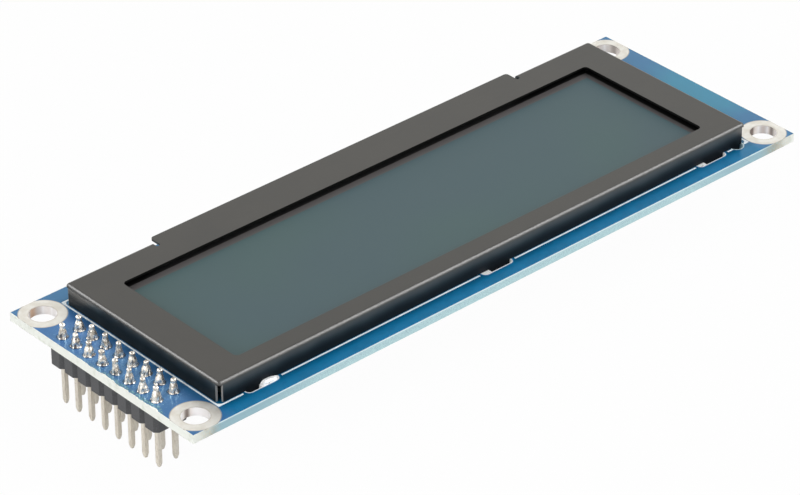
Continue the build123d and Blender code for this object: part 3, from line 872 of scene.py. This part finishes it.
def pinMaterial():
    shader = Shader("tinnedPin")
    where = shader.place()
    drawn = shader.noise(shader.stretch(where, (5.0, 5.0, 0.5)), 2.2, 3.0, 0.6)
    spots = shader.fade(shader.noise(where, 3.0, 3.0, 0.6), 0.55, 0.75)
    tone = shader.tint(shader.fade(drawn, 0.35, 0.75), headerLook["pin"], headerLook["pinDull"])
    tone = shader.tint(spots * 0.3, tone, headerLook["pinSpot"])
    return shader.surface(
        Base_Color=tone,
        Metallic=0.7,
        Roughness=0.36 + drawn * 0.16,
        Normal=shader.bump(drawn, 0.25, 0.02),
    )


meshForm = {
    "joinMm": 0.001,  # a CAD node's points that lie closer than this are one
    "closeMm": 0.0005,  # the same for a new piece's rings and poles
    "bevelSteps": 2,
    "sharpAngle": math.radians(40),
}


def soften(name, widthMm):
    # rounds a moulded part's sharp edges, once its loose triangles are joined
    weld = nodes[name].modifiers.new("joinFaces", "WELD")
    weld.merge_threshold = meshForm["joinMm"] * mm
    bevel = nodes[name].modifiers.new("roundEdges", "BEVEL")
    bevel.width = widthMm * mm
    bevel.segments = meshForm["bevelSteps"]
    bevel.limit_method = "ANGLE"
    bevel.angle_limit = meshForm["sharpAngle"]


def gridMesh(name, grid, material, hollow=None):
    # rows of closed rings, joined by four-sided faces; the first and last are poles, or one and the same ring
    rows, columns = grid.shape[:2]
    first = np.arange(rows * columns).reshape(rows, columns)
    beside = np.roll(first, -1, axis=1)
    faces = np.stack((first[:-1], beside[:-1], beside[1:], first[1:]), axis=-1).reshape(-1, 4)
    mesh = bpy.data.meshes.new(name)
    mesh.from_pydata(grid.reshape(-1, 3).tolist(), [], faces.tolist())
    mesh.materials.append(material)
    mesh.polygons.foreach_set("use_smooth", np.ones(len(faces), bool))
    if hollow is not None:
        mesh.attributes.new("hollow", "FLOAT", "POINT").data.foreach_set("value", hollow.ravel())
    mesh.update()
    piece = bpy.data.objects.new(name, mesh)
    bpy.context.collection.objects.link(piece)
    weld = piece.modifiers.new("closePoles", "WELD")
    weld.merge_threshold = meshForm["closeMm"] * mm
    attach(piece, "root")
    return piece


dress("header_housing", housingMaterial())
soften("header_housing", headerLook["edgeMm"])

# Header pins: square wire with rounded corners, pointed at both ends

pinForm = {
    "pins": 16,
    "sideMm": 0.6,
    "pointMm": 0.3,
    "taperMm": 0.6,
    "cornerMm": 0.045,
    "buriedMm": 0.4,  # side within the solder, above the board
    "arcPoints": 7,
}


def pinSurface(centre, low, top):
    # a rounded square of half side h(z) carried up the pin's axis; each corner is an arc of a few points
    half = pinForm["sideMm"] / 2
    tip = pinForm["pointMm"] / 2
    buried = pinForm["buriedMm"] / 2
    taper = pinForm["taperMm"]
    # height and half side, from the lower point to the upper one
    z, halves = np.array((
        (low, 0.0),
        (low, tip),
        (low + 0.04, tip + 0.03),
        (low + taper - 0.06, half - 0.015),
        (low + taper + 0.06, half),
        ((low + boardBackMm) / 2, half),
        (boardBackMm, half),
        (-0.45, half),
        (0.1, buried),
        (top - 0.05, buried * 0.8),
        (top, buried * 0.7),
        (top, 0.0),
    )).T
    corner = np.minimum(pinForm["cornerMm"], halves * 0.4)
    points = pinForm["arcPoints"]
    turn = np.linspace(0, np.pi / 2, points) + np.arange(4)[:, None] * np.pi / 2
    side = np.repeat(np.arange(4) * np.pi / 2 + np.pi / 4, points)
    turn = turn.ravel()
    middle = (halves - corner)[:, None] * np.sqrt(2)
    x = centre[0] + middle * np.cos(side) + corner[:, None] * np.cos(turn)
    y = centre[1] + middle * np.sin(side) + corner[:, None] * np.sin(turn)
    return np.stack((x, y, np.repeat(z[:, None], len(turn), axis=1)), axis=-1) * mm


pinTin = pinMaterial()
for number in range(1, pinForm["pins"] + 1):
    grid = pinSurface(*boxMm(f"header_pin_{number:02d}"))
    pin = gridMesh(f"headerPin{number:02d}", grid, pinTin)
    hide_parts(f"header_pin_{number:02d}")
print("header made")

# Solder joints: bells with webs at the foot, a neck, and a bead over each pin's end

jointForm = {
    "columns": 64,
    "rows": (5, 52),  # within the hole, and above the board
    "holeRadiusMm": 0.49,
    "footMm": (0.66, 0.8),
    "neckMm": (0.31, 0.34),
    "beadMm": (0.34, 0.38),
    "topMm": (1.8, 1.95),
    "bellyShare": (0.62, 0.72),
    "blur": (0.1, 0.22, 0.36, 0.22, 0.1),
    "valleys": (3, 6),
    "valleyDepthMm": (0.09, 0.2),
    "valleyWidth": (0.24, 0.5),
    "valleyClimbMm": (0.5, 1.05),
    "valleyShade": (0.25, 1.0),
    "pits": 3,
    "pitDepthMm": 0.03,
    "pitHeightMm": (0.75, 1.7),
    "pitWidth": (0.2, 0.5),
    "pitClimbMm": (0.06, 0.16),
    "pitShade": (0.3, 1.0),
    "lobes": (2, 3, 5, 7),
    "lobeSwell": 0.08,
    "lobeTwist": (1, 5),
    "lobeClimbMm": 1.1,
    "skirtMm": 0.1,
    "skirtRipple": 0.03,
    "ovalMm": (1.2, 0.2),  # height where the bead starts to be oval, and how fast it gets so
    "oval": 0.07,
    "leanMm": 0.07,
    "phase": (0, 6.3),
    "seed": 40,
}
jointLook = {
    "bright": colour(240, 236, 228),
    "dull": colour(172, 166, 157),
    # tones for the hollows: flux, darkened as painted shade
    "fluxBrown": colour(92, 68, 54),
    "fluxGrey": colour(66, 72, 78),
    # painted shade at the foot of each bell
    "foot": colour(70, 74, 84),
    "head": colour(146, 138, 128),
}


def nearTurn(angle):
    # the same angle between -pi and pi
    return (angle + np.pi) % (2 * np.pi) - np.pi


def jointSurface(centre, random):
    # a profile of radius against height, turned round the pin, cut by narrow valleys that deepen to the foot
    def pick(key):
        return random.uniform(*jointForm[key])

    foot = pick("footMm")
    neck = pick("neckMm")
    bead = pick("beadMm")
    top = pick("topMm")
    belly = pick("bellyShare")
    hole = jointForm["holeRadiusMm"]
    # height and radius, from the pole under the board to the pole on top
    heights, radii = np.array((
        (boardBackMm, 0.0),
        (boardBackMm, hole),
        (-0.02, hole),
        (0.0, foot),
        (0.04, foot * 0.96),
        (0.12, foot * 0.88),
        (0.28, foot * 0.82),
        (0.5, foot * 0.77),
        (0.78, foot * belly),
        (1.05, foot * belly * 0.5 + neck * 0.5),
        (1.25, neck + 0.01),
        (1.38, neck),
        (top - 0.36, bead),
        (top - 0.14, bead * 0.96),
        (top - 0.04, bead * 0.72),
        (top, 0.0),
    )).T
    knots = np.linspace(0, 1, len(heights))
    rowsBelow, rowsAbove = jointForm["rows"]
    steps = np.concatenate((np.linspace(0, knots[3], rowsBelow), np.linspace(knots[3], 1, rowsAbove)[1:]))
    z = np.interp(steps, knots, heights)
    r = np.interp(steps, knots, radii)
    # the profile above the foot is blurred, so that it has no corners
    blurred = np.convolve(np.pad(r[5:], 2, mode="edge"), jointForm["blur"], mode="valid")
    r[6:-2] = blurred[1:-2]
    angle = np.linspace(0, 2 * np.pi, jointForm["columns"], endpoint=False)
    z, angle = np.meshgrid(z, angle, indexing="ij")
    r = np.repeat(r[:, None], angle.shape[1], axis=1)
    above = np.clip(z, 0, None)
    outside = z > -0.01
    # valleys: each is a narrow groove at its own angle, depth and height
    hollow = np.zeros_like(r)
    count = random.integers(*jointForm["valleys"])
    spread = 2 * np.pi / count
    for index in range(count):
        at = index * spread + random.uniform(-0.3, 0.3) * spread
        width = pick("valleyWidth")
        climb = pick("valleyClimbMm")
        away = nearTurn(angle - at - 0.25 * np.sin(2.5 * z + at))
        groove = np.exp(-(away / width) ** 2) * np.exp(-(above / climb) ** 3) * outside
        r = r - pick("valleyDepthMm") * groove
        hollow = np.maximum(hollow, groove * pick("valleyShade"))
    # pits: small dents below the bead, where the solder didn't wet the pin
    for _ in range(jointForm["pits"]):
        at = random.uniform(0, 2 * np.pi)
        height = pick("pitHeightMm")
        away = nearTurn(angle - at)
        pit = np.exp(-(away / pick("pitWidth")) ** 2 - ((z - height) / pick("pitClimbMm")) ** 2)
        r = r - jointForm["pitDepthMm"] * pit
        hollow = np.maximum(hollow, pit * pick("pitShade"))
    # lobes: slow waves round the bell, twisted with its height
    share = np.exp(-(above / jointForm["lobeClimbMm"]) ** 4)
    for order in jointForm["lobes"]:
        swell = random.uniform(-1, 1) / order * jointForm["lobeSwell"]
        twist = pick("lobeTwist")
        r = r * (1 + swell * share * np.sin(order * angle + twist * z + pick("phase")) * outside)
    skirt = np.exp(-(above / jointForm["skirtMm"]) ** 2) * outside
    r = r * (1 + jointForm["skirtRipple"] * skirt * np.sin(7 * angle + pick("phase")) * np.sin(3 * angle))
    ovalStart, ovalBlend = jointForm["ovalMm"]
    oval = jointForm["oval"] * np.clip(above - ovalStart, 0, ovalBlend) / ovalBlend
    r = r * (1 + oval * np.cos(2 * angle + pick("phase")))
    r[[0, -1]] = 0.0  # the poles stay points
    lean = np.array((random.uniform(-1, 1), random.uniform(-1, 1))) * jointForm["leanMm"]
    share = np.clip(above / top, 0, 1) ** 1.5
    x = centre[0] + r * np.cos(angle) + lean[0] * share
    y = centre[1] + r * np.sin(angle) + lean[1] * share
    return np.stack((x, y, z), axis=-1) * mm, hollow


def solderMaterial():
    # bright skin of solder, darker in its hollows: partly flux caught there and partly painted shade
    shader = Shader("jointSolder")
    where = shader.place()
    z = shader.axes(where)[2]
    lumps = shader.noise(where, 1.5, 2.0, 0.5)
    fine = shader.noise(where, 6.0, 3.0, 0.6)
    drawn = shader.noise(shader.stretch(where, (1.0, 1.0, 0.3)), 3.2, 2.0, 0.5)
    hollow = shader.attribute("hollow")
    fluxAndPaintedLight = shader.fade(hollow + (drawn - 0.5) * 1.5, 0.3, 0.55)
    tone = shader.tint(shader.fade(lumps, 0.42, 0.64), jointLook["bright"], jointLook["dull"])
    fluxTone = shader.tint(shader.fade(drawn, 0.45, 0.6), jointLook["fluxBrown"], jointLook["fluxGrey"])
    tone = shader.tint(fluxAndPaintedLight * 0.9, tone, fluxTone)
    # painted shade darkens the foot of each bell near the board, and the flat head is darker in patches
    footShade = 1 - shader.fade(z, 0.0, 0.35)
    tone = shader.tint(footShade * 0.35, tone, jointLook["foot"])
    atHead = shader.fade(z, 1.5, 1.9) * shader.fade(drawn, 0.35, 0.55)
    tone = shader.tint(atHead * 0.6, tone, jointLook["head"])
    return shader.surface(
        Base_Color=tone,
        Metallic=0.8 - fluxAndPaintedLight * 0.5,
        Roughness=0.2 + fine * 0.16,
        Normal=shader.bump(lumps + drawn * 0.8 + fine * 0.12, 0.6, 0.08),
    )


jointSolder = solderMaterial()
for number in range(1, pinForm["pins"] + 1):
    centre = boxMm(f"header_pin_{number:02d}")[0]
    random = np.random.default_rng(jointForm["seed"] + number)
    grid, hollow = jointSurface(centre, random)
    joint = gridMesh(f"solderJoint{number:02d}", grid, jointSolder, hollow)
    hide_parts(f"solder_joint_{number:02d}")

# Solder that has risen in front of the near left leg

moundForm = {
    "centreMm": (-36.85, -14.72),
    "reachMm": (1.22, 0.44),
    "heightMm": 0.46,
    "footMm": -0.06,
    "fullness": (0.7, 0.6),  # powers of the dome's profile, across and up; less is fuller
    "slant": 0.2,
    "ripple": (0.07, 0.04),
    "rows": 16,
    "columns": 56,
}


def moundSurface():
    # a dome over an ellipse, a little higher to the left, with a slow ripple round it, closed by a flat foot
    centreX, centreY = moundForm["centreMm"]
    reachX, reachY = moundForm["reachMm"]
    foot = moundForm["footMm"]
    across, up = moundForm["fullness"]
    slow, quick = moundForm["ripple"]
    climb = np.linspace(0, np.pi / 2, moundForm["rows"])
    angle = np.linspace(0, 2 * np.pi, moundForm["columns"], endpoint=False)
    climb, angle = np.meshgrid(climb, angle, indexing="ij")
    share = np.cos(climb) ** across
    share[-1] = 0.0
    share = share * (1 + slow * np.sin(5 * angle + 1.0) + quick * np.sin(9 * angle))
    x = centreX + reachX * share * np.cos(angle)
    y = centreY + reachY * share * np.sin(angle)
    slant = 1 - moundForm["slant"] * share * np.cos(angle + 0.1)
    z = foot + moundForm["heightMm"] * slant * np.sin(climb) ** up
    top = np.stack((x, y, z), axis=-1)
    middle = np.broadcast_to(np.array((centreX, centreY, foot)), top[:1].shape)
    return np.concatenate((middle, top)) * mm


mound = gridMesh("legSolderMound", moundSurface(), legTinAndReflection)
print("solder joints made")

# Rear side: flex, driver chip and supply parts

flexLook = {
    "film": colour(196, 122, 34),
    "filmDeep": colour(168, 96, 22),
    "track": colour(142, 74, 26),
    "trackPitchMm": 0.5,
    "tracksHalfMm": 20.5,
}
# name of the finish, main and second tone, roughness, scale of the grain, and share of metal if any
rearFinishes = {
    "driver_chip": ("chipBlack", colour(30, 30, 34), colour(46, 46, 50), 0.3, 5.0),
    "capacitors": ("capacitorCeramic", colour(172, 136, 98), colour(150, 114, 78), 0.5, 6.0),
    "resistors": ("resistorBlack", colour(26, 26, 28), colour(40, 40, 42), 0.35, 6.0),
    "inductor": ("ferrite", colour(58, 58, 62), colour(80, 80, 84), 0.6, 6.0),
    "regulator": ("epoxyBlack", colour(32, 32, 34), colour(46, 46, 48), 0.55, 9.0),
    "diode": ("epoxyDiode", colour(34, 34, 36), colour(50, 50, 52), 0.55, 9.0),
}
rearBevelsMm = {
    "driver_chip": 0.05,
    "part_terminals": 0.05,
    "capacitors": 0.05,
    "resistors": 0.03,
    "regulator": 0.07,
    "diode": 0.07,
}


def flexMaterial():
    shader = Shader("amberFlex")
    where = shader.place()
    x = shader.axes(where)[0]
    tracks = shader.fade(abs((x / flexLook["trackPitchMm"]) % 1 - 0.5), 0.2, 0.26)
    tracks = tracks * (abs(x) < flexLook["tracksHalfMm"])
    grain = shader.noise(where, 4.0, 3.0, 0.6)
    film = shader.tint(grain, flexLook["film"], flexLook["filmDeep"])
    tone = shader.tint(tracks * 0.7, film, flexLook["track"])
    return shader.surface(
        Base_Color=tone,
        Roughness=0.28 + grain * 0.1,
        Normal=shader.bump(tracks + grain * 0.1, 0.4, 0.02),
    )


def plainMaterial(name, main, second, roughness, scale, metallic=0.0):
    shader = Shader(name)
    grain = shader.noise(shader.place(), scale, 4.0, 0.65)
    tone = shader.tint(shader.fade(grain, 0.35, 0.7), main, second)
    return shader.surface(
        Base_Color=tone,
        Metallic=metallic,
        Roughness=roughness + grain * 0.15,
        Normal=shader.bump(grain, 0.35, 0.02),
    )


dress("flex_ribbon", flexMaterial())
dress("flex_contacts", tinMaterial("contactSolder"))
dress("part_terminals", tinMaterial("terminalTin"))
for name, finish in rearFinishes.items():
    dress(name, plainMaterial(*finish))
for name, widthMm in rearBevelsMm.items():
    soften(name, widthMm)

# Copper wire wound round the inductor's neck, between its flanges

windingForm = {
    "turns": 6,
    "rowsPerTurn": 8,
    "columns": 72,
    "outerMm": 1.82,
    "rippleMm": 0.08,
    "innerMm": 1.58,
    "flangeMm": 0.4,
    "seamMm": 0.03,
}
# in the order of rearFinishes
wireFinish = ("enamelledWire", colour(184, 98, 48), colour(142, 66, 30), 0.26, 4.0, 0.75)


def windingSurface(centre, low, high):
    # a closed ring: outside, the radius is outer - ripple * (1 - |sin|) along the height; inside it is a
    # plain tube
    turns = windingForm["turns"]
    inner = windingForm["innerMm"]
    rise = np.linspace(0, 1, turns * windingForm["rowsPerTurn"] + 1)
    outer = windingForm["outerMm"] - windingForm["rippleMm"] * (1 - np.abs(np.sin(np.pi * turns * rise)))
    z = np.concatenate(((low,), low + (high - low) * rise, (high,), (low,)))
    r = np.concatenate(((inner,), outer, (inner,), (inner,)))
    angle = np.linspace(0, 2 * np.pi, windingForm["columns"], endpoint=False)
    z, angle = np.meshgrid(z, angle, indexing="ij")
    x = centre[0] + r[:, None] * np.cos(angle)
    y = centre[1] + r[:, None] * np.sin(angle)
    return np.stack((x, y, z), axis=-1) * mm


middle, underside, top = boxMm("inductor")
flange = windingForm["flangeMm"] + windingForm["seamMm"]
grid = windingSurface(middle, underside + flange, top - flange)
winding = gridMesh("inductorWinding", grid, plainMaterial(*wireFinish))
print("rear side dressed")
